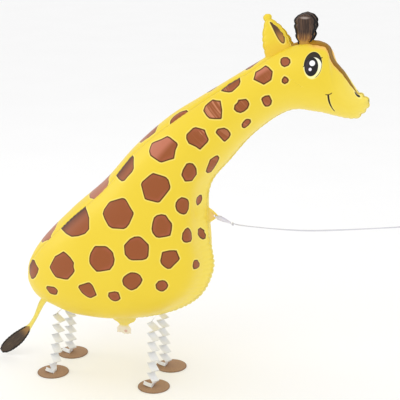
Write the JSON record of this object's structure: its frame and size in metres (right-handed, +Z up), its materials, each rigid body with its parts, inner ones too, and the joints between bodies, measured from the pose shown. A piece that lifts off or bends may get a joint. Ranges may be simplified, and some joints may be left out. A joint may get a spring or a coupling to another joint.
{
  "type": "giraffe foil balloon",
  "caption": "Inflated giraffe foil balloon with printed spots, folded paper legs on cardboard disc feet, a flat tail and a ribbon lead.",
  "frame": {"origin": "on the floor under the middle of the figure's outline, the ribbon left out", "axes": "+X the way the giraffe faces, +Y to its left, +Z up"},
  "size_m": [0.9578, 0.2112, 0.793],
  "materials": {
    "yellow_foil": "satin printed foil",
    "dark_foil": "satin printed foil",
    "valve_film": "clear film",
    "white_paper": "matte tissue paper",
    "brown_card": "matte kraft card",
    "white_ribbon": "satin ribbon"
  },
  "bodies": {
    "root": {"balloon_body": "yellow_foil", "ear_right": "yellow_foil", "ear_left": "yellow_foil", "tail": "yellow_foil", "horn_right": "dark_foil", "horn_left": "dark_foil", "filling_valve": "valve_film", "leg_rear_right": "white_paper", "leg_rear_left": "white_paper", "leg_front_right": "white_paper", "leg_front_left": "white_paper", "foot_rear_right": "brown_card", "foot_rear_left": "brown_card", "foot_front_right": "brown_card", "foot_front_left": "brown_card", "ribbon_loop": "white_ribbon", "ribbon_knot": "white_ribbon", "ribbon": "white_ribbon", "handle_knot": "white_ribbon", "ribbon_handle": "white_ribbon"}
  },
  "joints": []
}
